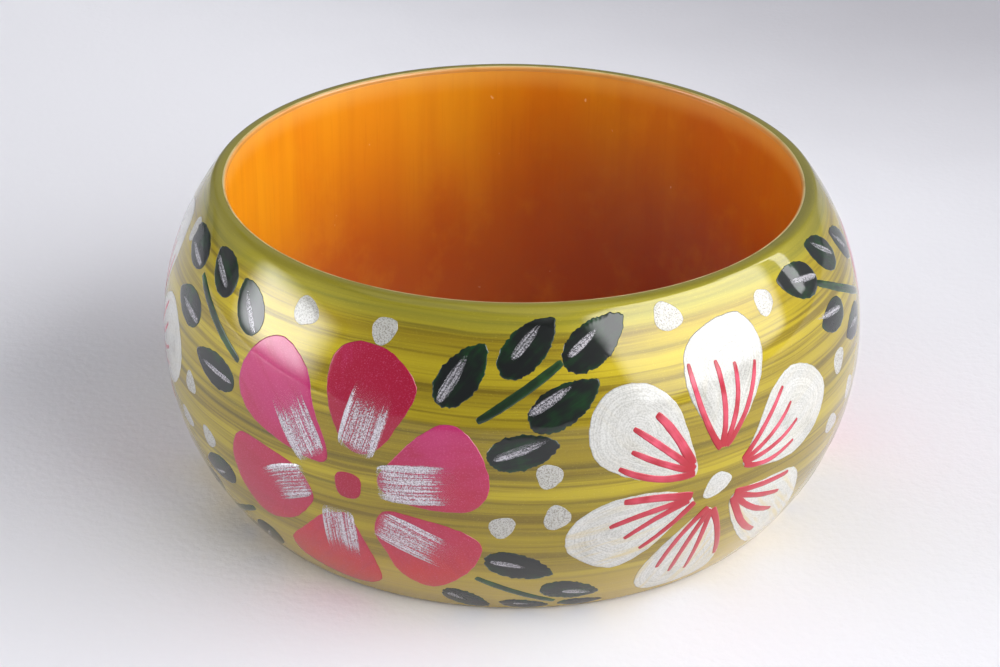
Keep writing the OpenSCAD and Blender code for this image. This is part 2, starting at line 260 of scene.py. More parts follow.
@dataclass(frozen=True)
class Belly:
    """The ring's outline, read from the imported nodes, and the way from a flat drawing to it."""

    height: float
    widest_r: float
    rim_r: float
    bore_r: float
    lip_r: float
    arc_r: float
    arc_centre: float

    @classmethod
    def from_frame(cls) -> "Belly":
        """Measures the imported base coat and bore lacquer."""
        coat = cls.corners("base_coat")
        lacquer = cls.corners("bore_lacquer")
        radius = np.hypot(coat[:, 0], coat[:, 1])
        height = float(coat[:, 2].max())
        on_rim = coat[:, 2] > height - 0.01 * MM
        widest, rim = float(radius.max()), float(radius[on_rim].max())
        bulge = widest - rim
        arc = (height**2 / 4 + bulge**2) / (2 * bulge)
        bore = float(np.hypot(lacquer[:, 0], lacquer[:, 1]).min())
        lip = float(radius[on_rim].min())
        return cls(height, widest, rim, bore, lip, arc, widest - arc)

    @staticmethod
    def corners(node: str) -> np.ndarray:
        """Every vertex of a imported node, one row each."""
        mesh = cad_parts[node].data
        places = np.zeros(len(mesh.vertices) * 3)
        mesh.vertices.foreach_get("co", places)
        return places.reshape(-1, 3)

    @property
    def middle(self) -> float:
        """The height of the belly's widest line."""
        return self.height / 2

    def over(self, places: np.ndarray) -> np.ndarray:
        """How far each place stands above the base coat."""
        out = np.hypot(places[:, 0], places[:, 1]) - self.arc_centre
        return np.hypot(out, places[:, 2] - self.middle) - self.arc_r

    def unroll(self, places: np.ndarray) -> tuple[float, np.ndarray]:
        """Unrolls places on the belly into a flat drawing.

        Args:
            places: Places on the belly, one row each.

        Returns:
            The turn of the drawing's own centre line from the front, and the drawing in metres.
        """
        turns = np.arctan2(places[:, 0], -places[:, 1])
        turn = math.atan2(float(np.sin(turns).mean()), float(np.cos(turns).mean()))
        across = (turns - turn + math.pi) % (2 * math.pi) - math.pi
        up = np.arctan2(places[:, 2] - self.middle, np.hypot(places[:, 0], places[:, 1]) - self.arc_centre)
        return turn, np.column_stack([across * self.widest_r, up * self.arc_r])

    def roll(self, turn: float, drawing: np.ndarray, lift: np.ndarray) -> np.ndarray:
        """Rolls a flat drawing back on the belly.

        Args:
            turn: The turn of the drawing's centre line from the front.
            drawing: Metres right and up, one row for each point.
            lift: How far each point stands above the base coat.

        Returns:
            The places of the points.
        """
        round_, up = turn + drawing[:, 0] / self.widest_r, drawing[:, 1] / self.arc_r
        radius = self.arc_centre + (self.arc_r + lift) * np.cos(up)
        height = self.middle + (self.arc_r + lift) * np.sin(up)
        return np.column_stack([radius * np.sin(round_), -radius * np.cos(round_), height])


# --- flat drawings of the dabs ---


@dataclass(frozen=True)
class Outline:
    """A closed outline on the unrolled belly, counter-clockwise, round its own centre line."""

    turn: float
    points: np.ndarray

    @classmethod
    def all_of(cls, belly: Belly, node: str) -> list["Outline"]:
        """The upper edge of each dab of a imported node.

        Args:
            belly: The belly that the dabs lie on.
            node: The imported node.

        Returns:
            One outline for each dab.
        """
        work = bmesh.new()
        work.from_mesh(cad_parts[node].data)
        bmesh.ops.remove_doubles(work, verts=work.verts, dist=0.002 * MM)
        work.normal_update()
        work.verts.index_update()
        places = np.array([v.co for v in work.verts])
        heights = belly.over(places)
        middle = (heights.max() + heights.min()) / 2
        follows: dict[int, list[int]] = {}
        for edge in work.edges:
            tops = [cls._faces_out(belly, face, heights, middle) for face in edge.link_faces]
            if len(tops) == 2 and tops[0] != tops[1]:
                a, b = (v.index for v in edge.verts)
                follows.setdefault(a, []).append(b)
                follows.setdefault(b, []).append(a)
        work.free()
        outlines = []
        while follows:
            loop = [min(follows)]
            while True:
                onward = [n for n in follows[loop[-1]] if n not in loop[-2:]]
                if not onward or onward[0] == loop[0]:
                    break
                loop.append(onward[0])
            for corner in loop:
                follows.pop(corner, None)
            turn, points = belly.unroll(places[loop])
            outlines.append(cls(turn, points if cls._area(points) > 0 else points[::-1]))
        return sorted(outlines, key=lambda o: (round(o.turn, 3), round(float(o.centre[1]), 5)))

    @staticmethod
    def _faces_out(belly: Belly, face: bmesh.types.BMFace, heights: np.ndarray, middle: float) -> bool:
        """Whether a face is part of a dab's upper side."""
        if any(heights[v.index] < middle for v in face.verts):
            return False
        place = face.calc_center_median()
        radius = math.hypot(place.x, place.y)
        slope = (radius - belly.arc_centre) / radius
        outward = Vector((place.x * slope, place.y * slope, place.z - belly.middle)).normalized()
        return face.normal.dot(outward) > 0.5

    @staticmethod
    def _area(points: np.ndarray) -> float:
        """The area inside points, which is negative if they run clockwise."""
        x, y = points[:, 0], points[:, 1]
        return float((x * np.roll(y, -1) - y * np.roll(x, -1)).sum() / 2)

    @property
    def centre(self) -> np.ndarray:
        """The mean of evenly spaced points of the outline."""
        return self.even(64).mean(0)

    def even(self, count: int, start: int = 0) -> np.ndarray:
        """The outline as a smooth closed curve of evenly spaced points.

        Args:
            count: How many points.
            start: The corner of the outline that comes first.

        Returns:
            The points, one row each.
        """
        rough = np.roll(self.points, -start, axis=0)
        steps = np.linspace(0, 1, 12, endpoint=False)[:, None]
        before, after, later = np.roll(rough, 1, 0), np.roll(rough, -1, 0), np.roll(rough, -2, 0)
        curve = []
        for p0, p1, p2, p3 in zip(before, rough, after, later):
            curve.append(
                (
                    2 * p1
                    + (p2 - p0) * steps
                    + (2 * p0 - 5 * p1 + 4 * p2 - p3) * steps**2
                    + (3 * p1 - p0 - 3 * p2 + p3) * steps**3
                )
                / 2
            )
        fine = np.vstack([*curve, rough[:1]])
        return along_line(fine, np.linspace(0, 1, count, endpoint=False))

    def ends(self) -> tuple[int, int]:
        """The two corners that are furthest apart, the one at the blunter end first."""
        gaps = np.linalg.norm(self.points[:, None] - self.points[None], axis=2)
        a, b = np.unravel_index(int(gaps.argmax()), gaps.shape)
        axis = (self.points[b] - self.points[a]) / gaps[a, b]
        along = (self.points - self.points[a]) @ axis / gaps[a, b]
        across = np.abs((self.points - self.points[a]) @ np.array([-axis[1], axis[0]]))
        near, far = across[along < 0.5].sum(), across[along >= 0.5].sum()
        return (int(a), int(b)) if near >= far else (int(b), int(a))


def along_line(line: np.ndarray, shares: np.ndarray) -> np.ndarray:
    """Points of a line at shares of its length."""
    lengths = np.concatenate([[0], np.cumsum(np.linalg.norm(np.diff(line, axis=0), axis=1))])
    wanted = shares * lengths[-1]
    return np.column_stack([np.interp(wanted, lengths, line[:, k]) for k in range(line.shape[1])])


def rounded(count: int) -> np.ndarray:
    """Shares from 0 to 1, closer together towards both ends."""
    return (1 - np.cos(np.linspace(0, math.pi, count))) / 2


def smooth(share: np.ndarray) -> np.ndarray:
    """A smooth rise from 0 to 1."""
    share = np.clip(share, 0, 1)
    return share * share * (3 - 2 * share)


@dataclass(frozen=True)
class Band:
    """A brush stroke on the unrolled belly: its middle line, and half its width as a vector at each point."""

    turn: float
    line: np.ndarray
    side: np.ndarray

    @classmethod
    def from_outline(cls, outline: Outline, count: int) -> "Band":
        """The stroke whose two sides are the outline, cut at its two ends.

        Args:
            outline: The stroke's outline.
            count: How many points the middle line gets.

        Returns:
            The stroke, from its blunter end.
        """
        first, last = outline.ends()
        corners = np.roll(outline.points, -first, axis=0)
        cut = (last - first) % len(corners)
        shares = rounded(count)
        right = along_line(corners[: cut + 1], shares)
        left = along_line(np.vstack([corners[cut:], corners[:1]]), 1 - shares)
        return cls(outline.turn, (left + right) / 2, (left - right) / 2)

    @classmethod
    def from_points(
        cls,
        turn: float,
        points: Sequence[Sequence[float]],
        width: float,
        count: int,
        taper: float,
        heel: float,
    ) -> "Band":
        """A bent stroke through three points, with round ends.

        Args:
            turn: The turn of the drawing's centre line from the front, in degrees.
            points: Its two ends and its middle, in millimetres.
            width: Its width in millimetres.
            count: How many points the middle line gets.
            taper: The power that shapes its ends, 0.5 for full half rounds.
            heel: How much wider it is where the brush was set down, as a share of its width.

        Returns:
            The stroke.
        """
        start, middle, end = (np.array(p) * MM for p in points)
        u = rounded(count)[:, None]
        pull = 2 * middle - (start + end) / 2
        line = start * (1 - u) ** 2 + pull * 2 * u * (1 - u) + end * u**2
        heading = (pull - start) * (1 - u) + (end - pull) * u
        heading /= np.linalg.norm(heading, axis=1)[:, None]
        side = np.column_stack([-heading[:, 1], heading[:, 0]]) * width * MM / 2
        return cls(math.radians(turn), line, side * (4 * u * (1 - u)) ** taper * (1 + heel * (1 - u) ** 6))

    def blunted(self, width: float, taper: float) -> "Band":
        """The same stroke with an even width and blunt ends.

        Args:
            width: The new width as a share of the widest place.
            taper: The power that shapes its ends.
        """
        widths = np.linalg.norm(self.side, axis=1)[:, None]
        sideways = self.side / np.maximum(widths, 1e-9)
        sideways[0], sideways[-1] = sideways[1], sideways[-2]
        u = rounded(len(self.line))[:, None]
        return Band(self.turn, self.line, sideways * widths.max() * width * (4 * u * (1 - u)) ** taper)


# --- laying enamel ---


@dataclass(frozen=True)
class Enamel:
    """How thick a film of enamel is modelled, and how unsteady the brush was."""

    top: float = 0.022 * MM
    edge: float = 0.004 * MM
    foot: float = -0.03 * MM
    shoulder: float = 0.6 * MM
    wobble: float = 0.07 * MM
    wave: float = 1.2 * MM

    def lift(self, inward: np.ndarray) -> np.ndarray:
        """The film's height at each distance in from its edge."""
        return self.edge + (self.top - self.edge) * smooth(inward / self.shoulder)

    def unsteady(self, points: np.ndarray, outward: np.ndarray, seed: float) -> np.ndarray:
        """Points moved in and out a little, as the brush's edge does.

        Args:
            points: Points of an outline in metres.
            outward: The unit direction out of the outline at each.
            seed: Sets one dab apart from the next.

        Returns:
            The moved points.
        """
        shifts = []
        for x, y in points / self.wave:
            slow = noise.noise(Vector((x, y, seed)))
            quick = noise.noise(Vector((x * 2.7, y * 2.7, seed + 40)))
            shifts.append(self.wobble * (slow + 0.6 * quick))
        return points + outward * np.array(shifts)[:, None]


BASE_FILM = Enamel()
RAGGED_LEAF = Enamel(wobble=0.18 * MM, wave=0.5 * MM)
SMOOTH_LEAF = Enamel(wobble=0.08 * MM, wave=0.9 * MM)
STEM_FILM = Enamel(shoulder=0.3 * MM, wobble=0.06 * MM, wave=0.8 * MM)
SECOND_FILM = Enamel(top=0.04 * MM, edge=0.026 * MM, shoulder=0.25 * MM, wobble=0.04 * MM)


def select_only(*objects: bpy.types.Object) -> None:
    """Selects these objects and nothing else, the first of them active."""
    bpy.ops.object.select_all(action="DESELECT")
    for thing in objects:
        thing.select_set(True)
    bpy.context.view_layer.objects.active = objects[0]


def discard(thing: bpy.types.Object) -> None:
    """Deletes an object and its mesh."""
    mesh = thing.data
    bpy.data.objects.remove(thing)
    bpy.data.meshes.remove(mesh)


class Shape:
    """What one brush leaves: a pattern that is modelled once and copied for each dab."""

    def _keep(self) -> np.ndarray:
        """Keeps the object just modelled as the pattern.

        Returns:
            Its vertices, one row each.
        """
        bpy.ops.object.shade_smooth()
        self.pattern = bpy.context.object
        for name in (STROKE, SHARE):
            self.pattern.data.attributes.new(name, "FLOAT_VECTOR", "POINT")
        return np.array([v.co for v in self.pattern.data.vertices])

    def _copy(self, places: np.ndarray, stroke: Sequence[Any], share: Sequence[Any]) -> bpy.types.Object:
        """Copies the pattern.

        Args:
            places: The places of the copy's vertices.
            stroke: The three parts of its STROKE attribute.
            share: The three parts of its SHARE attribute.

        Returns:
            The copy.
        """
        dab = self.pattern.copy()
        dab.data = self.pattern.data.copy()
        bpy.context.collection.objects.link(dab)
        dab.data.vertices.foreach_set("co", places.ravel().astype(np.float32))
        for name, parts in ((STROKE, stroke), (SHARE, share)):
            fields = np.column_stack(parts).ravel().astype(np.float32)
            dab.data.attributes[name].data.foreach_set("vector", fields)
        dab.data.update()
        return dab


class DabShape(Shape):
    """A dab with no direction: a flattened ball, laid inside each outline."""

    def __init__(self, spokes: int, rings: int) -> None:
        """Models the ball.

        Args:
            spokes: Points round the outline.
            rings: Rings from the middle of the top to the middle of the foot.
        """
        bpy.ops.object.select_all(action="DESELECT")
        bpy.ops.mesh.primitive_uv_sphere_add(segments=spokes, ring_count=rings, radius=1)
        ball = self._keep()
        self.spokes = spokes
        round_ = np.arctan2(ball[:, 1], ball[:, 0]) / (2 * math.pi)
        self.spoke = np.round(round_ * spokes).astype(int) % spokes
        self.reach = np.hypot(ball[:, 0], ball[:, 1])
        self.under = ball[:, 2] < -1e-4

    def lay(self, belly: Belly, film: Enamel, outline: Outline, tone: float, seed: float) -> bpy.types.Object:
        """Lays one dab.

        Args:
            belly: The belly that it lies on.
            film: How thick and how steady it is.
            outline: Its outline.
            tone: Its own tone, from 0 to 1.
            seed: Sets its edge apart from the next dab's.

        Returns:
            The dab.
        """
        first, last = outline.ends()
        edge = outline.even(self.spokes, first)
        centre = edge.mean(0)
        outward = np.roll(edge, -1, 0) - np.roll(edge, 1, 0)
        outward = np.column_stack([outward[:, 1], -outward[:, 0]])
        outward /= np.linalg.norm(outward, axis=1)[:, None]
        edge = film.unsteady(edge, outward, seed)
        spoke = edge[self.spoke] - centre
        drawing = centre + spoke * self.reach[:, None]
        inward = (1 - self.reach) * np.linalg.norm(spoke, axis=1)
        lift = np.where(self.under, film.foot, film.lift(inward))
        heel, tip = outline.points[first], outline.points[last]
        length = float(np.linalg.norm(tip - heel))
        axis = (tip - heel) / length
        along = (drawing - heel) @ axis
        across = (drawing - heel) @ np.array([-axis[1], axis[0]])
        half = max(float(np.abs(across).max()), 0.1 * MM)
        share = (along / length, across / half, np.full(len(along), tone))
        return self._copy(belly.roll(outline.turn, drawing, lift), (along, across, inward), share)


class BandShape(Shape):
    """A brush stroke: a grid with a foot, laid along each stroke."""

    def __init__(self, along: int, across: int) -> None:
        """Models the grid and pulls a foot down from it.

        Args:
            along: Points along the stroke.
            across: Points across it.
        """
        bpy.ops.object.select_all(action="DESELECT")
        bpy.ops.mesh.primitive_grid_add(x_subdivisions=along - 1, y_subdivisions=across - 1, size=2)
        bpy.ops.object.mode_set(mode="EDIT")
        bpy.ops.mesh.select_all(action="SELECT")
        bpy.ops.mesh.extrude_region_move(TRANSFORM_OT_translate={"value": (0, 0, -1)})
        bpy.ops.mesh.select_all(action="SELECT")
        bpy.ops.mesh.normals_make_consistent(inside=False)
        bpy.ops.object.mode_set(mode="OBJECT")
        grid = self._keep()
        self.points = along
        self.step = np.round((grid[:, 0] + 1) / 2 * (along - 1)).astype(int)
        self.across = grid[:, 1]
        self.under = grid[:, 2] < -0.5

    def lay(self, belly: Belly, film: Enamel, band: Band, tone: float, seed: float) -> bpy.types.Object:
        """Lays one stroke.

        Args:
            belly: The belly that it lies on.
            film: How thick and how steady it is.
            band: Its middle line and its width.
            tone: Its own tone, from 0 to 1.
            seed: Sets its edges apart from the next stroke's.

        Returns:
            The stroke.
        """
        width = np.linalg.norm(band.side, axis=1)
        sure = np.maximum(width, 1e-9)[:, None]
        left = film.unsteady(band.line + band.side, band.side / sure, seed)
        right = film.unsteady(band.line - band.side, -band.side / sure, seed + 9)
        narrow = width < 0.01 * MM
        left[narrow], right[narrow] = band.line[narrow], band.line[narrow]
        line, side = (left + right) / 2, (left - right) / 2
        width = np.linalg.norm(side, axis=1)
        drawing = line[self.step] + side[self.step] * self.across[:, None]
        lengths = np.concatenate([[0], np.cumsum(np.linalg.norm(np.diff(line, axis=0), axis=1))])
        run = lengths[self.step]
        inward = np.minimum((1 - np.abs(self.across)) * width[self.step], np.minimum(run, lengths[-1] - run))
        lift = np.where(self.under, film.foot, film.lift(inward))
        stroke = (run, self.across * width[self.step], inward)
        share = (run / lengths[-1], self.across, np.full(len(run), tone))
        return self._copy(belly.roll(band.turn, drawing, lift), stroke, share)


def close_up(near: float) -> None:
    """Merges the active piece's vertices that are nearer than near, and turns its faces outward."""
    bpy.ops.object.mode_set(mode="EDIT")
    bpy.ops.mesh.select_all(action="SELECT")
    bpy.ops.mesh.remove_doubles(threshold=near)
    bpy.ops.mesh.select_all(action="SELECT")
    bpy.ops.mesh.normals_make_consistent(inside=False)
    bpy.ops.object.mode_set(mode="OBJECT")


def gather(name: str, dabs: list[bpy.types.Object]) -> bpy.types.Object:
    """Joins dabs into one piece and closes its pointed ends.

    Args:
        name: The piece's name.
        dabs: The dabs, each with its own mesh.

    Returns:
        The piece.
    """
    select_only(*dabs)
    if len(dabs) > 1:
        bpy.ops.object.join()
    piece = bpy.context.object
    piece.name = name
    piece.data.name = name
    close_up(0.0002 * MM)
    return piece


def install(piece: bpy.types.Object, material: bpy.types.Material, node: str) -> None:
    """Dresses a piece and sets it in the frame.

    Args:
        piece: The piece.
        material: Its finish.
        node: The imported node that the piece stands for.
    """
    piece.data.materials.clear()
    piece.data.materials.append(material)
    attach(piece, BODY)
    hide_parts(node)
    log.info("%s: %d faces", piece.name, len(piece.data.polygons))


# --- finishes ---


@dataclass(frozen=True)
class OlivePearl:
    """The pearly olive base coat, brushed on while the ring turned, under gloss varnish, with painted light
    from the pale table lightening its lower part.
    """

    light: tuple = srgb(180, 160, 24)
    body: tuple = srgb(146, 125, 14)
    deep: tuple = srgb(106, 86, 8)
    seam: tuple = srgb(62, 54, 18)
    green: tuple = srgb(136, 134, 44)
    sand: tuple = srgb(184, 156, 66)
    glint: tuple = srgb(236, 218, 96)
    # Where the brush left a dark ring: [height from the widest line, half width, strength], in millimetres.
    rings: tuple = (
        (18.45, 0.35, 0.55), (17.25, 0.3, 0.35), (14.8, 0.45, 0.4), (13.3, 0.35, 0.5), (10.2, 0.3, 0.25),
        (6.3, 0.4, 0.45), (3.3, 0.5, 0.6), (2.0, 0.5, 0.75), (-1.3, 0.45, 0.6), (-5.0, 0.35, 0.5),
        (-9.2, 0.3, 0.45), (-11.0, 0.3, 0.35), (-12.3, 0.4, 0.5), (-15.6, 0.35, 0.3),
    )  # fmt: skip

    def material(self, belly: Belly) -> bpy.types.Material:
        """The finish for a belly of that outline."""
        mix = Recipe("olive_pearl")
        x, y, z = mix.places()
        rise = ((z - belly.middle) / belly.arc_r).at_least(-1).at_most(1)
        level = rise.arcsine() * belly.arc_r
        sway = mix.cloud(x * 28, y * 28, level * 45, 1) - 0.5
        shiver = mix.cloud(x * 110, y * 110, level * 500, 1) - 0.5
        level = level + sway * (1.5 * MM) + shiver * (0.35 * MM)
        broad = mix.cloud(x * 10, y * 10, level * 260, 2, 0.6)
        brushed = mix.cloud(x * 17, y * 17, level * 1150, 4, 0.62)
        hair = mix.cloud(x * 34, y * 34, level * 4200, 3, 0.6)
        colour = mix.blend(broad.step(0.36, 0.64), self.body, self.light)
        colour = mix.blend(brushed.step(0.55, 0.36) * 0.75, colour, self.deep)
        colour = mix.blend(hair.step(0.52, 0.72) * 0.3, colour, self.light)
        colour = mix.blend(hair.step(0.46, 0.28) * 0.4, colour, self.deep)
        dark = None
        for height, half, strength in self.rings:
            patchy = mix.cloud(x * 24, y * 24, height, 1).step(0.3, 0.62)
            ring = (1 - abs(level - height * MM) / (half * MM)).at_least(0) * strength * patchy
            dark = ring if dark is None else dark.at_least(ring)
        broken = mix.cloud(x * 60, y * 60, level * 3000, 2).step(0.3, 0.6)
        colour = mix.blend(dark * (0.55 + 0.45 * broken), colour, self.seam)
        colour = mix.blend(level.step(16.6 * MM, 18.3 * MM) * 0.6, colour, self.green)
        # Painted light: the lower belly is lighter and sandier, as the pale table below lights it.
        colour = mix.blend(level.step(-7 * MM, -17 * MM) * 0.7, colour, self.sand)
        flake = mix.cloud(x * 9000, y * 9000, z * 9000, 1)
        colour = mix.blend(flake.step(0.6, 0.8) * 0.22, colour, self.glint)
        relief = brushed * 0.7 + hair * 0.3
        return mix.varnished(
            colour, 0.36 + brushed * 0.16, relief, 0.05 * MM, Metallic=0.28 + flake.step(0.5, 0.75) * 0.35
        )


@dataclass(frozen=True)
class CreamPrimer:
    """The cream primer, bare only in a bead round the lips of the bore, where the lacquer has stained it."""

    cream: tuple = srgb(206, 190, 132)
    worn: tuple = srgb(168, 140, 62)
    stained: tuple = srgb(210, 136, 48)

    def material(self, belly: Belly) -> bpy.types.Material:
        """The finish for a belly of that outline."""
        mix = Recipe("cream_primer")
        x, y, z = mix.places()
        stain = mix.cloud(x * 220, y * 220, z * 220, 4, 0.6).step(0.42, 0.68)
        grain = mix.cloud(x * 2600, y * 2600, z * 2600, 2)
        colour = mix.blend(stain * 0.7, self.cream, self.worn)
        radius = mix.node("ShaderNodeVectorMath", {"operation": "LENGTH"}, {0: mix.vector(x, y, 0)}, 1)
        colour = mix.blend(radius.step(belly.lip_r, belly.bore_r) * 0.85, colour, self.stained)
        rough = 0.34 + grain * 0.16
        return mix.finish(
            {
                "Base Color": colour,
                "Roughness": rough,
                "Normal": mix.bump(grain, 0.02 * MM),
                "Coat Weight": 0.7,
                "Coat Roughness": 0.12,
            }
        )


@dataclass(frozen=True)
class BareWood:
    """The turned blank, hidden under its coats."""

    early: tuple = srgb(214, 178, 122)
    late: tuple = srgb(168, 124, 72)

    def material(self) -> bpy.types.Material:
        """The finish."""
        mix = Recipe("bare_wood")
        x, y, z = mix.places()
        rings = mix.cloud(x * 420, y * 60, z * 18, 3).step(0.35, 0.65)
        pores = mix.cloud(x * 2400, y * 900, z * 160, 2).step(0.58, 0.7)
        colour = mix.blend(rings, self.early, self.late)
        relief = mix.bump(1 - pores, 0.03 * MM)
        return mix.finish({"Base Color": colour, "Roughness": 0.6 + pores * 0.2, "Normal": relief})


@dataclass(frozen=True)
class OrangeLacquer:
    """The orange lacquer of the bore, with the wood's upright grain showing through, and painted shade that
    darkens its lower part and its right side.
    """

    bright: tuple = srgb(230, 150, 18)
    body: tuple = srgb(218, 122, 10)
    deep: tuple = srgb(176, 70, 6)
    worn: tuple = srgb(232, 170, 78)
    fleck: tuple = srgb(246, 206, 150)

    def material(self) -> bpy.types.Material:
        """The finish."""
        mix = Recipe("orange_lacquer")
        x, y, z = mix.places()
        broad = mix.cloud(x * 60, y * 60, z * 16, 2, 0.5)
        grain = mix.cloud(x * 420, y * 420, z * 20, 3, 0.55)
        fibre = mix.cloud(x * 2300, y * 2300, z * 90, 2)
        blotch = mix.cloud(x * 160, y * 160, z * 120, 4, 0.6)
        colour = mix.blend(broad.step(0.3, 0.7), self.body, self.bright)
        # Painted shade: the lacquer darkens towards the bore's lower part, where the front rim shades it.
        colour = mix.blend((z + (broad - 0.5) * (20 * MM)).step(32 * MM, 6 * MM) * 0.8, colour, self.deep)
        # Painted shade: the bore's right side, which faces away from the window, is darkened.
        colour = mix.blend((x + (blotch - 0.5) * (30 * MM)).step(-8 * MM, 30 * MM) * 0.68, colour, self.deep)
        colour = mix.blend(grain.step(0.58, 0.28) * 0.16, colour, self.deep)
        colour = mix.blend(fibre.step(0.54, 0.78) * 0.1, colour, self.deep)
        colour = mix.blend(blotch.step(0.46, 0.74) * 0.24, colour, self.bright)
        colour = mix.blend(z.step(33.4 * MM, 36.2 * MM) * 0.45, colour, self.worn)
        speck = mix.cloud(x * 900, y * 900, z * 620, 1).step(0.8, 0.86)
        colour = mix.blend(speck * 0.7, colour, self.fleck)
        return mix.finish(
            {
                "Base Color": colour,
                "Roughness": 0.34 + blotch * 0.14,
                "Normal": mix.bump(grain * 0.6 + fibre * 0.4, 0.025 * MM),
                "Coat Weight": 0.6,
                "Coat Roughness": 0.25,
                "Specular IOR Level": 0.2,
            }
        )


@dataclass(frozen=True)
class PinkEnamel:
    """Pearly pink petals, crimson where the brush was full, with painted light turning them from magenta
    above to coral below.
    """

    magenta: tuple = srgb(184, 46, 104)
    crimson: tuple = srgb(158, 10, 48)
    coral: tuple = srgb(192, 34, 26)
    rose: tuple = srgb(174, 36, 68)
    flake: tuple = srgb(230, 116, 166)

    def material(self, belly: Belly) -> bpy.types.Material:
        """The finish for a belly of that outline."""
        mix = Recipe("pink_enamel")
        x, y, z = mix.places()
        along, across, inward = mix.attribute(STROKE)
        reach, _, tone = mix.attribute(SHARE)
        cloudy = mix.cloud(x * 120, y * 120, z * 120, 3, 0.55)
        brushed = mix.cloud(along * 150, across * 900, tone * 31, 4, 0.6)
        # Painted light: the petals go from magenta above through rose to coral below, as the light falls on
        # them.
        height = z - belly.middle + (cloudy - 0.5) * (9 * MM)
        colour = mix.blend(height.step(8 * MM, -2 * MM), self.magenta, self.rose)
        colour = mix.blend(height.step(-5 * MM, -15 * MM), colour, self.coral)
        full = (tone + (cloudy - 0.5) * 0.9 + (brushed - 0.5) * 0.5 + (reach - 0.5) * 0.35).step(0.42, 0.85)
        colour = mix.blend(full, colour, self.crimson)
        colour = mix.blend(brushed.step(0.56, 0.34) * 0.3, colour, self.crimson)
        mica = mix.cloud(x * 7500, y * 7500, z * 7500, 1)
        colour = mix.blend(mica.step(0.5, 0.85) * 0.3, colour, self.flake)
        return mix.varnished(
            colour,
            0.42 + brushed * 0.12,
            brushed * 0.6 + inward.step(0, 0.5 * MM) * 0.4,
            0.03 * MM,
            Metallic=0.12 + mica.step(0.5, 0.8) * 0.25,
        )


@dataclass(frozen=True)
class WhiteEnamel:
    """Pearl white petals whose fine ridges follow their rounded ends."""

    pearl: tuple = srgb(209, 208, 203)
    shade: tuple = srgb(158, 156, 149)
    thin: tuple = srgb(202, 184, 134)

    def material(self, belly: Belly) -> bpy.types.Material:
        """The finish for a belly of that outline."""
        mix = Recipe("white_enamel")
        x, y, z = mix.places()
        along, across, inward = mix.attribute(STROKE)
        _, _, tone = mix.attribute(SHARE)
        ridges = mix.cloud(inward * 6400 + x * 240, along * 160 + y * 240, tone * 17 + across * 60, 2)
        brushed = mix.cloud(along * 110, across * 1100, tone * 23, 4, 0.6)
        grain = mix.cloud(x * 5600, y * 5600, z * 5600, 2)
        cloudy = mix.cloud(x * 210, y * 210, z * 210, 3)
        dull = ridges.step(0.62, 0.36) * 0.34 + grain.step(0.58, 0.36) * 0.4 + cloudy.step(0.52, 0.7) * 0.3
        colour = mix.blend(dull, self.pearl, self.shade)
        lower = (z - belly.middle).step(2 * MM, -12 * MM)
        colour = mix.blend(brushed.step(0.46, 0.66) * (lower * 0.7 + 0.1), colour, self.thin)
        return mix.varnished(
            colour,
            0.4 + ridges * 0.12,
            ridges * 0.4 + brushed * 0.2 + grain * 0.4,
            0.025 * MM,
            Metallic=0.08 + grain.step(0.5, 0.75) * 0.2,
        )


@dataclass(frozen=True)
class SandySilver:
    """Silver dots, dabbed on thick and sandy."""

    light: tuple = srgb(192, 190, 183)
    dark: tuple = srgb(142, 138, 127)

    def material(self) -> bpy.types.Material:
        """The finish."""
        mix = Recipe("sandy_silver")
        x, y, z = mix.places()
        sand = mix.cloud(x * 6200, y * 6200, z * 6200, 3, 0.7)
        colour = mix.blend(sand.step(0.56, 0.38), self.light, self.dark)
        return mix.varnished(
            colour, 0.45 + sand * 0.1, sand, 0.03 * MM, Metallic=0.12 + sand.step(0.45, 0.6) * 0.2
        )


@dataclass(frozen=True)
class DryBrush:
    """Silver pulled out with a nearly dry brush: fine streaks that break up into grains."""

    name: str
    # How much paint is on the brush, the share of the pull at which it begins to run out, and by how much.
    solid: float
    start: float
    fade: float
    # How well it hides what is under it, how much more lies along its sides, and how soft its grains are.
    hiding: float
    rims: float
    soft: float
    light: tuple = srgb(226, 222, 228)
    dark: tuple = srgb(176, 172, 178)

    def material(self) -> bpy.types.Material:
        """The finish."""
        mix = Recipe(self.name)
        x, y, z = mix.places()
        along, across, inward = mix.attribute(STROKE)
        reach, side, tone = mix.attribute(SHARE)
        streaks = mix.cloud(along * 120, across * 5600, tone * 19, 2, 0.6)
        bristles = mix.cloud(along * 70, across * 1500, tone * 29, 2)
        grains = mix.cloud(x * 6800, y * 6800, z * 6800, 2, 0.6)
        edges = abs(side).step(0.4, 0.95) * self.rims
        load = self.solid - reach.step(self.start, 1.0) * self.fade - reach.step(0.12, 0) * 0.12 + edges
        paint = streaks * 0.42 + bristles * 0.24 + grains * 0.34 + load - 0.5
        ends = reach.step(0.0, 0.03) * reach.step(1.0, 0.95) * inward.step(0.0, 0.1 * MM)
        wash = reach.step(0.95, 0.3) * 0.12
        cover = (paint.step(0.52 - self.soft, 0.52 + self.soft) * self.hiding + wash) * ends
        colour = mix.blend(grains.step(0.6, 0.36), self.light, self.dark)
        return mix.varnished(colour, 0.4, grains, 0.02 * MM, Metallic=0.2, Alpha=cover)


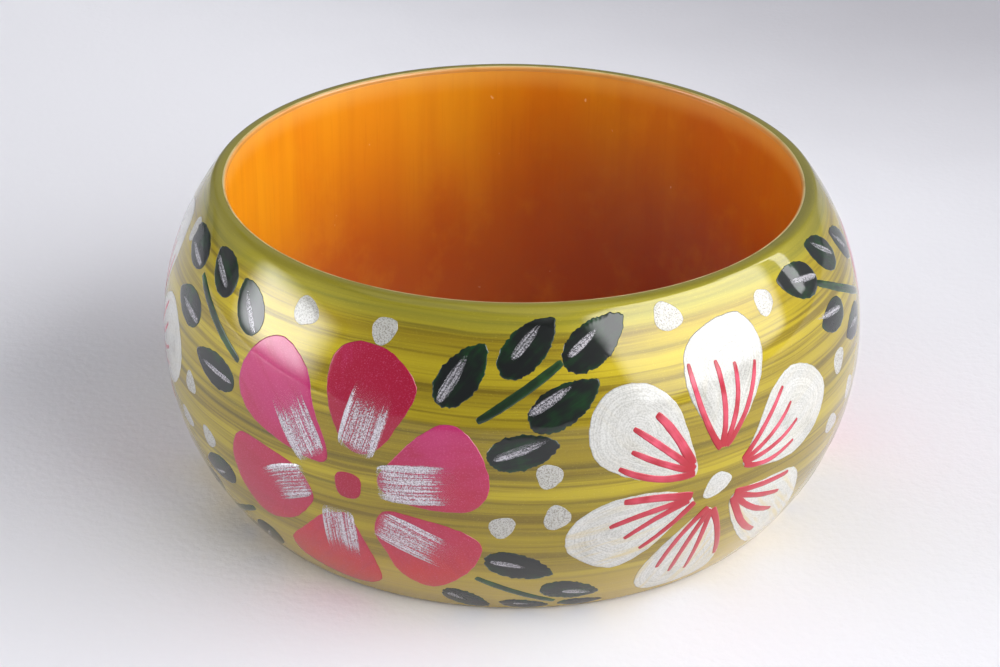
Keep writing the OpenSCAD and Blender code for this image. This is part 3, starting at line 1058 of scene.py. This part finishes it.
@dataclass(frozen=True)
class RedVein:
    """Rose red veins, drawn with a liner brush: dark where it was set down, washed out half way."""

    full: tuple = srgb(166, 12, 34)
    washed: tuple = srgb(216, 80, 104)

    def material(self) -> bpy.types.Material:
        """The finish."""
        mix = Recipe("red_vein")
        x, y, z = mix.places()
        along, across, _ = mix.attribute(STROKE)
        reach, side, tone = mix.attribute(SHARE)
        brushed = mix.cloud(along * 260, across * 3600, tone * 37, 3, 0.6)
        pools = mix.cloud(x * 420, y * 420, z * 420, 2)
        middle = reach.step(0.1, 0.4) * reach.step(1.0, 0.8)
        wash = middle * (brushed * 1.1 + (pools - 0.5) * 2.4) * (1 - abs(side).step(0.45, 0.95) * 0.5)
        laden = z.step(21 * MM, 12 * MM) * 0.75
        colour = mix.blend(wash * (1 - laden), self.full, self.washed)
        return mix.varnished(colour, 0.4 + brushed * 0.1, brushed, 0.02 * MM)


@dataclass(frozen=True)
class LeafEnamel:
    """Leaves of nearly black green, thinner and greener in patches."""

    name: str
    dark: tuple
    green: tuple
    patches: float

    def material(self) -> bpy.types.Material:
        """The finish."""
        mix = Recipe(self.name)
        x, y, z = mix.places()
        along, across, inward = mix.attribute(STROKE)
        _, _, tone = mix.attribute(SHARE)
        patch = mix.cloud(x * 260, y * 260, z * 260, 3, 0.6)
        brushed = mix.cloud(along * 200, across * 1500, tone * 41, 3, 0.6)
        thin = patch * 0.65 + brushed * 0.35 + inward.step(0.5 * MM, 0) * 0.08
        thin = thin.step(0.6 - self.patches, 0.72)
        colour = mix.blend(thin, self.dark, self.green)
        return mix.varnished(colour, 0.42 + brushed * 0.14, brushed, 0.03 * MM)


class Film(Enum):
    """The finishes of the painting, each by its slot in the record."""

    PINK = "pink_enamel"
    WHITE = "white_enamel"
    SILVER = "silver_enamel"
    RED = "red_enamel"
    LEAF = "leaf_enamel"
    STEM = "stem_enamel"


# --- the ring ---


@dataclass
class TurnedRing:
    """The turned blank and its three coats, spun from their half sections."""

    belly: Belly
    turns: int = 512
    coat: float = 0.15 * MM
    rim_round: float = 0.6 * MM
    lip_round: float = 0.1 * MM
    lacquer_gap: float = 0.6 * MM
    arc_points: int = 72

    def build(self) -> None:
        """Builds the coats in the order that they were brushed on."""
        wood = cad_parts["wood_ring"]
        wood.data.materials.clear()
        wood.data.materials.append(BareWood().material())
        log.info("wood_ring: the packed blank stays")
        primer = self._spun("primer_bead_and_coat", self._primer_section())
        install(primer, CreamPrimer().material(self.belly), "primer_coat")
        olive = self._spun("olive_base_coat", self._coat_section())
        install(olive, OlivePearl().material(self.belly), "base_coat")
        lacquer = self._spun("orange_bore_lacquer", self._lacquer_section())
        install(lacquer, OrangeLacquer().material(), "bore_lacquer")

    def _arc(self, depth: float, lowest: float, count: int) -> list[tuple[float, float]]:
        """The belly's line at a depth under the surface, from one height above the rest to its mirror."""
        radius = self.belly.arc_r - depth
        limit = math.asin((self.belly.middle - lowest) / radius)
        angles = np.linspace(-limit, limit, count)
        centre, middle = self.belly.arc_centre, self.belly.middle
        return [(centre + radius * math.cos(a), middle + radius * math.sin(a)) for a in angles]

    @staticmethod
    def _eased(start: tuple, corner: tuple, end: tuple, count: int = 7) -> list[tuple[float, float]]:
        """A rounded corner between two points."""
        return [
            tuple(s * (1 - t) ** 2 + c * 2 * t * (1 - t) + e * t**2 for s, c, e in zip(start, corner, end))
            for t in np.linspace(0, 1, count)
        ]

    def _mirrored(self, points: list[tuple[float, float]]) -> list[tuple[float, float]]:
        """Points of the lower half as their mirror images in the upper half, in reverse order."""
        return [(r, self.belly.height - z) for r, z in reversed(points)]

    def _coat_section(self) -> list[tuple[float, float]]:
        """The olive coat: flat rims, softly rounded to the belly."""
        b = self.belly
        arc = self._arc(0, self.rim_round * 0.72, self.arc_points)
        rim = self._eased((b.rim_r - self.rim_round, 0.0), (b.rim_r, 0.0), arc[0])
        lip = self._eased((b.lip_r, self.lip_round), (b.lip_r, 0.0), (b.lip_r + self.lip_round, 0.0), 4)
        lower = lip + rim[:-1]
        inside = self._arc(self.coat, self.coat, 24)
        foot = [(b.lip_r, self.coat)]
        return lower + arc + self._mirrored(lower) + self._mirrored(foot) + inside[::-1] + foot

    def _primer_section(self) -> list[tuple[float, float]]:
        """The primer under the olive coat, with a rounded bare bead at each lip."""
        b = self.belly
        bare = b.lip_r - b.bore_r
        bead = [
            (b.lip_r - bare * math.cos(a), bare - bare * math.sin(a)) for a in np.linspace(0, math.pi / 2, 8)
        ]
        lower = [(b.bore_r, self.lacquer_gap), *bead, (b.lip_r, self.coat)]
        outside = self._arc(self.coat, self.coat, 24)
        inside = self._arc(2 * self.coat, 2 * self.coat, 24)
        back = [(b.bore_r + self.coat, 2 * self.coat), (b.bore_r + self.coat, self.lacquer_gap)]
        return lower + outside + self._mirrored(lower) + self._mirrored(back) + inside[::-1] + back

    def _lacquer_section(self) -> list[tuple[float, float]]:
        """The lacquer on the bore, with softly rounded ends."""
        b = self.belly
        near, far, low = b.bore_r, b.bore_r + self.coat, self.lacquer_gap
        soft = 0.06 * MM
        end = self._eased((near, low + soft), (near, low), (near + soft, low), 4)
        walls = [(near, z) for z in np.linspace(b.height - low - soft, low + soft, 12)[1:-1]]
        return walls + end + [(far, low), (far, b.height - low)] + self._mirrored(end)

    def _spun(self, name: str, section: list[tuple[float, float]]) -> bpy.types.Object:
        """Spins a closed half section round the bore's axis.

        Args:
            name: The piece's name.
            section: Points of the half section as radius and height.

        Returns:
            The piece.
        """
        bpy.ops.object.select_all(action="DESELECT")
        bore = self.belly.bore_r
        bpy.ops.mesh.primitive_circle_add(vertices=len(section), radius=bore, fill_type="NOTHING")
        piece = bpy.context.object
        piece.name = name
        piece.data.name = name
        for vertex, (radius, height) in zip(piece.data.vertices, section):
            vertex.co = (radius, 0, height)
        bpy.ops.object.mode_set(mode="EDIT")
        bpy.ops.mesh.select_all(action="SELECT")
        bpy.ops.mesh.spin(steps=self.turns, angle=2 * math.pi, center=(0, 0, 0), axis=(0, 0, 1))
        bpy.ops.object.mode_set(mode="OBJECT")
        close_up(0.001 * MM)
        bpy.ops.object.shade_smooth_by_angle(angle=math.radians(50))
        return piece


# --- the painting ---


FLOWER_CENTRE = (0.0, -1.5)


@dataclass
class Brushes:
    """The shapes that a brush leaves, each modelled once."""

    petal: DabShape
    leaf: DabShape
    dot: DabShape
    line: BandShape
    patch: BandShape

    @classmethod
    def made(cls) -> "Brushes":
        """Models the shapes."""
        return cls(DabShape(72, 16), DabShape(96, 12), DabShape(40, 12), BandShape(25, 7), BandShape(25, 9))

    def put_away(self) -> None:
        """Deletes the patterns once everything is laid."""
        for shape in (self.petal, self.leaf, self.dot, self.line, self.patch):
            discard(shape.pattern)


def spun(point: Sequence[float], spin: float) -> tuple[float, float]:
    """A point of a flower's drawing, turned about the flower's centre by spin degrees."""
    x, y = point[0] - FLOWER_CENTRE[0], point[1] - FLOWER_CENTRE[1]
    c, s = math.cos(math.radians(spin)), math.sin(math.radians(spin))
    return FLOWER_CENTRE[0] + x * c - y * s, FLOWER_CENTRE[1] + x * s + y * c


@dataclass
class Flower:
    """One six-petalled flower: petals, a spot in the middle and strokes that lie on the petals."""

    belly: Belly
    brushes: Brushes
    place: str
    turn: float
    spin: float
    seed: float
    # How full the brush was for each petal, round from the upper left.
    tones: tuple = (0.28, 0.95, 0.42, 0.3, 0.12, 0.2)
    headings: tuple = (142, 77, 12, -44, -108, -158)

    def tone_of(self, outline: Outline) -> float:
        """The tone of the petal that lies in an outline's direction from the flower's centre."""
        x = (outline.turn - math.radians(self.turn) + math.pi) % (2 * math.pi) - math.pi
        x = x * self.belly.widest_r + outline.centre[0] - FLOWER_CENTRE[0] * MM
        heading = math.degrees(math.atan2(outline.centre[1] - FLOWER_CENTRE[1] * MM, x)) - self.spin
        gaps = [abs((heading - h + 180) % 360 - 180) for h in self.headings]
        return self.tones[gaps.index(min(gaps))]

    def lay_petals(self, node: str, name: str, material: bpy.types.Material, film: Film) -> None:
        """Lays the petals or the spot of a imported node."""
        shape = self.brushes.dot if node.endswith("spot") else self.brushes.petal
        dabs = [
            shape.lay(self.belly, BASE_FILM, outline, self.tone_of(outline), self.seed + i)
            for i, outline in enumerate(Outline.all_of(self.belly, node))
        ]
        install(gather(name, dabs), material, node)

    def lay_strokes(
        self,
        node: str,
        name: str,
        strokes: Sequence[tuple],
        shape: BandShape,
        ends: tuple[float, float],
        material: bpy.types.Material,
        film: Film,
    ) -> None:
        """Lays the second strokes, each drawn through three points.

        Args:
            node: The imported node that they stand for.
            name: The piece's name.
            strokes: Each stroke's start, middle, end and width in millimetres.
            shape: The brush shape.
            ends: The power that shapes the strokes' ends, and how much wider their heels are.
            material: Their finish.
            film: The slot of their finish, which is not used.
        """
        dabs = []
        for i, (*points, width) in enumerate(strokes):
            points = [spun(p, self.spin) for p in points]
            band = Band.from_points(self.turn, points, width, shape.points, *ends)
            dabs.append(shape.lay(self.belly, SECOND_FILM, band, (i * 0.37) % 1, self.seed + 20 + i))
        install(gather(name, dabs), material, node)


@dataclass
class PinkFlower(Flower):
    """A pink flower, its petals brushed over with dry silver."""

    # One pull of the dry brush on each petal: from, half way, to, width.
    pulls: tuple = (
        ((-4.0, 1.0), (-6.4, 4.6), (-9.0, 8.6), 4.5), ((0.9, 3.0), (2.0, 7.2), (3.1, 11.6), 4.9),
        ((3.5, 0.1), (8.6, 0.6), (13.6, 1.2), 4.8), ((3.3, -5.2), (7.8, -7.2), (12.6, -9.8), 4.6),
        ((-1.4, -4.4), (-1.5, -8.6), (-1.9, -13.4), 4.3), ((-4.8, -2.0), (-8.3, -3.5), (-11.6, -5.4), 4.4),
    )  # fmt: skip

    def build(self, pink: bpy.types.Material, silver: bpy.types.Material) -> None:
        """Builds the flower's three pieces.

        Args:
            pink: The petals' finish.
            silver: The dry brush's finish.
        """
        stem = f"{self.place}_pink"
        self.lay_petals(f"{stem}_petals", f"{stem}_petals_enamel", pink, Film.PINK)
        self.lay_petals(f"{stem}_spot", f"{stem}_spot_enamel", pink, Film.PINK)
        node, name = f"{stem}_brushwork", f"{stem}_dry_silver"
        self.lay_strokes(node, name, self.pulls, self.brushes.patch, (0.1, 0), silver, Film.SILVER)


@dataclass
class WhiteFlower(Flower):
    """A white flower with red veins fanning out of each petal's heel."""

    # Four veins on each petal: at the heel, half way, end, width.
    veins: tuple = (
        ((-3.1, 0.3), (-7.5, 0.6), (-11.9, 2.6), 0.8), ((-3.2, 0.6), (-6.8, 2.2), (-10.5, 4.3), 0.75),
        ((-3.2, 0.7), (-6.7, 3.9), (-10.2, 6.8), 0.8), ((-3.4, 1.3), (-5.5, 5.3), (-7.5, 7.9), 1.0),
        ((0.1, 2.3), (-1.9, 6.6), (-3.1, 12.4), 0.7), ((0.2, 2.4), (0.9, 7), (0.4, 12), 0.7),
        ((0.5, 2.4), (2.5, 6.6), (2.9, 11.2), 0.65), ((0.8, 2.4), (3.9, 6), (5.8, 10.6), 0.65),
        ((3.2, -0.1), (6.3, 3), (9.5, 6.4), 0.65), ((3.2, -0.3), (7.5, 1.6), (10.7, 4.2), 0.6),
        ((3.4, -0.5), (7.9, 0), (11.8, 1.7), 0.6), ((3.5, -0.8), (7.2, -1.6), (11.3, -0.7), 0.6),
        ((2.6, -4.0), (7, -4.7), (11.5, -5.1), 0.75), ((2.6, -4.2), (6.3, -6), (10.6, -7.4), 0.7),
        ((2.6, -4.4), (6.1, -7.7), (10.4, -10), 0.75), ((2.5, -4.6), (5.1, -9.4), (8.8, -12.8), 0.9),
        ((-0.8, -4.9), (-4, -8.4), (-5.6, -13.1), 0.75), ((-0.5, -5.2), (-2.6, -9.7), (-3.4, -14.8), 0.75),
        ((-0.4, -5.4), (-0.9, -10.3), (-1, -15.3), 0.7), ((-0.2, -5.3), (1.4, -9), (3.1, -14.3), 0.8),
        ((-3.2, -2.6), (-7.3, -1.8), (-11.2, -1.6), 0.95), ((-3.5, -2.9), (-8.4, -3.5), (-12.6, -4.7), 0.75),
        ((-3.5, -3.1), (-7.5, -4.6), (-10.8, -6.6), 0.7), ((-2.8, -3.5), (-5.8, -6.2), (-8.8, -8.6), 0.7),
    )  # fmt: skip

    def build(self, white: bpy.types.Material, red: bpy.types.Material) -> None:
        """Builds the flower's three pieces.

        Args:
            white: The petals' finish.
            red: The veins' finish.
        """
        stem = f"{self.place}_white"
        self.lay_petals(f"{stem}_petals", f"{stem}_petals_enamel", white, Film.WHITE)
        self.lay_petals(f"{stem}_spot", f"{stem}_spot_enamel", white, Film.WHITE)
        node, name = f"{stem}_veins", f"{stem}_red_veins"
        self.lay_strokes(node, name, self.veins, self.brushes.line, (0.15, 0.7), red, Film.RED)


@dataclass
class Sprig:
    """A sprig between two flowers: dark leaves, a stem and a silver light on each leaf."""

    belly: Belly
    brushes: Brushes
    place: str
    seed: float
    leaf_film: Enamel

    def build(self, leaf: bpy.types.Material, stem: bpy.types.Material, silver: bpy.types.Material) -> None:
        """Builds the sprig's three pieces.

        Args:
            leaf: The leaves' finish.
            stem: The stem's finish.
            silver: The finish of the lights.
        """
        node = f"{self.place}_leaves"
        leaves = []
        for i, outline in enumerate(Outline.all_of(self.belly, node)):
            tone = (i * 0.37 + self.seed * 0.13) % 1
            leaves.append(self.brushes.leaf.lay(self.belly, self.leaf_film, outline, tone, self.seed + i))
        install(gather(f"{node}_enamel", leaves), leaf, node)
        self._lay_bands("stem", "enamel", STEM_FILM, self.brushes.line, stem, 1.15)
        self._lay_bands("highlights", "dry_silver", SECOND_FILM, self.brushes.patch, silver)

    def _lay_bands(
        self,
        part: str,
        suffix: str,
        film: Enamel,
        shape: BandShape,
        material: bpy.types.Material,
        evened: float = 0,
    ) -> None:
        """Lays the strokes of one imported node.

        Args:
            part: The last words of the node's name.
            suffix: The last words of the piece's name.
            film: How thick and how steady the strokes are.
            shape: The brush shape.
            material: Their finish.
            evened: If not 0, the even width that they get, as a share of their widest place.
        """
        node = f"{self.place}_{part}"
        dabs = []
        for i, outline in enumerate(Outline.all_of(self.belly, node)):
            band = Band.from_outline(outline, shape.points)
            band = band.blunted(evened, 0.15) if evened else band
            tone = (i * 0.29 + self.seed * 0.17) % 1
            dabs.append(shape.lay(self.belly, film, band, tone, self.seed + 60 + i))
        install(gather(f"{node}_{suffix}", dabs), material, node)


@dataclass
class Painting:
    """Everything that is painted on the belly."""

    belly: Belly
    # Each flower's place, its turn from the front and its spin about its own centre, in degrees.
    pink: tuple = (("front", -24.6, 0), ("right", 103, -3), ("rear", 217, -3))
    white: tuple = (("front", 32.5, 0), ("rear", 158.5, -5), ("left", 271.5, 0))
    gaps: tuple = ("front", "right", "right_rear", "rear", "left_rear", "left")

    def build(self) -> None:
        """Lays the flowers, the sprigs and the dots."""
        brushes = Brushes.made()
        silver = DryBrush("dry_silver", 0.51, 0.5, 0.28, 0.8, 0.06, 0.08).material()
        light = DryBrush("leaf_light", 0.53, 0.75, 0.1, 0.6, -0.06, 0.15).material()
        pink = PinkEnamel().material(self.belly)
        for i, (place, turn, spin) in enumerate(self.pink):
            PinkFlower(self.belly, brushes, place, turn, spin, 3.1 + i * 17).build(pink, silver)
        white, red = WhiteEnamel().material(self.belly), RedVein().material()
        for i, (place, turn, spin) in enumerate(self.white):
            WhiteFlower(self.belly, brushes, place, turn, spin, 61.7 + i * 17).build(white, red)
        leaf = LeafEnamel("leaf_enamel", srgb(8, 13, 10), srgb(6, 54, 14), 0.14).material()
        stem = LeafEnamel("stem_enamel", srgb(12, 36, 14), srgb(34, 78, 24), 0.14).material()
        for i, gap in enumerate(self.gaps):
            for j, level in enumerate(("upper", "lower")):
                film = SMOOTH_LEAF if i % 2 else RAGGED_LEAF
                sprig = Sprig(self.belly, brushes, f"{gap}_{level}", 113.3 + i * 23 + j * 11, film)
                sprig.build(leaf, stem, light)
        dots = [
            brushes.dot.lay(self.belly, BASE_FILM, outline, (i * 0.31) % 1, 300 + i)
            for i, outline in enumerate(Outline.all_of(self.belly, "silver_dots"))
        ]
        sandy = SandySilver().material()
        install(gather("silver_dots_enamel", dots), sandy, "silver_dots")
        brushes.put_away()


# --- the studio ---


@dataclass(frozen=True)
class SoftLight:
    """A soft panel of light that faces the bangle."""

    name: str
    azimuth: float
    elevation: float
    distance: float
    width: float
    height: float
    radiance: float
    tint: tuple = (1.0, 1.0, 1.0)
    # The share of its half width and half height over which its light fades at the edges.
    fade: float = 0.1
    # How bright its lower half is as a share of the upper.
    low: float = 1.0

    def hang(self, target: Vector) -> None:
        """Hangs the panel.

        Args:
            target: The point that it faces.
        """
        a, e = math.radians(self.azimuth), math.radians(self.elevation)
        away = Vector((math.sin(a) * math.cos(e), -math.cos(a) * math.cos(e), math.sin(e)))
        bpy.ops.object.select_all(action="DESELECT")
        bpy.ops.mesh.primitive_grid_add(x_subdivisions=4, y_subdivisions=4, size=2)
        panel = bpy.context.object
        panel.name = self.name
        panel.location = target + away * self.distance
        panel.rotation_euler = away.to_track_quat("Z", "Y").to_euler()
        panel.scale = (self.width / 2, self.height / 2, 1)
        mix = Recipe(self.name)
        x, y, _ = mix.places()
        inner = 1 - self.fade
        level = abs(x).step(1.0, inner) * abs(y).step(1.0, inner) * self.radiance
        level = level * (self.low + y.step(-0.6, 0.5) * (1 - self.low))
        glow = mix.node("ShaderNodeEmission", {}, {"Color": (*self.tint, 1), "Strength": level})
        panel.data.materials.append(mix.show(glow))


@dataclass
class Studio:
    """The pale table, the room's light and the camera."""

    belly: Belly
    lens: float = 77.87
    distance: float = 0.25787
    elevation: float = 27.497
    pan: float = 0.308
    tilt: float = -0.5525
    roll: float = -0.7697
    paper: tuple = srgb(235, 234, 239)
    paper_in_painted_shade: tuple = srgb(180, 178, 184)
    lights: tuple = (
        SoftLight("window", 68, 27, 1.0, 1.28, 0.94, 6.3, (0.985, 0.99, 1.0), 0.2, 0.72),
        SoftLight("window_beside", 109, 27, 1.02, 0.09, 0.9, 6.3, (0.985, 0.99, 1.0), 0.1, 0.72),
        SoftLight("far_window", -81, 14, 1.4, 1.14, 0.78, 8.8, (0.96, 0.975, 1.0), 0.6),
        SoftLight("back_wall", 178, 24, 2.2, 4.2, 1.4, 0.3, (0.96, 0.97, 1.0), 0.3),
        SoftLight("left_wall", -132, 20, 2.0, 1.8, 1.2, 0.3, (0.96, 0.97, 1.0), 0.3),
        SoftLight("ceiling", -20, 82, 1.6, 2.2, 2.2, 0.65, (0.97, 0.98, 1.0), 0.3),
    )

    def build(self) -> None:
        """Sets up the table, the lights and the camera."""
        middle = Vector((0, 0, self.belly.middle))
        self._table()
        for light in self.lights:
            light.hang(middle)
        world = bpy.data.worlds.new("room")
        bpy.context.scene.world = world
        world.use_nodes = True
        sky = world.node_tree.nodes["Background"]
        sky.inputs["Color"].default_value = (0.86, 0.89, 1.0, 1)
        sky.inputs["Strength"].default_value = 0.22
        bpy.context.scene.view_settings.view_transform = "Standard"
        self._camera(middle)

    def _table(self) -> None:
        """A wide pale table top of fine-toothed paper, with painted shade that darkens it towards the back
        right.
        """
        bpy.ops.object.select_all(action="DESELECT")
        bpy.ops.mesh.primitive_grid_add(x_subdivisions=24, y_subdivisions=24, size=5)
        table = bpy.context.object
        table.name = "table"
        bpy.ops.object.shade_smooth()
        mix = Recipe("table_paper")
        x, y, z = mix.places()
        tooth = mix.cloud(x * 900, y * 900, z, 3, 0.6)
        mottle = mix.cloud(x * 30, y * 30, z, 2)
        # Painted shade: the paper darkens towards the back right, where less light falls.
        painted_shade_behind = (x * 0.7 + y * 0.8 + (mottle - 0.5) * 0.02).step(0.06, 0.2)
        colour = mix.blend(painted_shade_behind, self.paper, self.paper_in_painted_shade)
        paper = mix.finish(
            {"Base Color": colour, "Roughness": 0.75, "Normal": mix.bump(tooth, 0.12 * MM, 0.6)}
        )
        table.data.materials.append(paper)

    def _camera(self, target: Vector) -> None:
        """Sets the camera up.

        Args:
            target: The middle of the bangle.
        """
        e = math.radians(self.elevation)
        place = Vector((0, -math.cos(e), math.sin(e))) * self.distance
        forward = -place.normalized()
        right = Vector((1, 0, 0))
        up = right.cross(forward)
        level = Matrix((right, up, forward))
        a, b, c = (math.radians(v) for v in (self.pan, self.tilt, self.roll))
        panned = Matrix(((math.cos(a), 0, math.sin(a)), (0, 1, 0), (-math.sin(a), 0, math.cos(a))))
        tilted = Matrix(((1, 0, 0), (0, math.cos(b), -math.sin(b)), (0, math.sin(b), math.cos(b))))
        rolled = Matrix(((math.cos(c), -math.sin(c), 0), (math.sin(c), math.cos(c), 0), (0, 0, 1)))
        rows = rolled @ tilted @ panned @ level
        camera = bpy.data.cameras.new("camera")
        camera.lens = self.lens
        camera.sensor_width = 36
        camera.clip_start = 0.01
        stand = bpy.data.objects.new("camera", camera)
        bpy.context.scene.collection.objects.link(stand)
        axes = Matrix((rows[0], rows[1], -rows[2])).transposed()
        stand.matrix_world = Matrix.Translation(target + place) @ axes.to_4x4()
        bpy.context.scene.camera = stand


def main() -> None:
    """Builds the bangle and the studio, and notes the sizes."""
    logging.basicConfig(level=logging.INFO, format="%(message)s")
    belly = Belly.from_frame()
    Studio(belly).build()
    TurnedRing(belly).build()
    Painting(belly).build()
    bpy.context.view_layer.update()


if __name__ == "__main__":
    main()
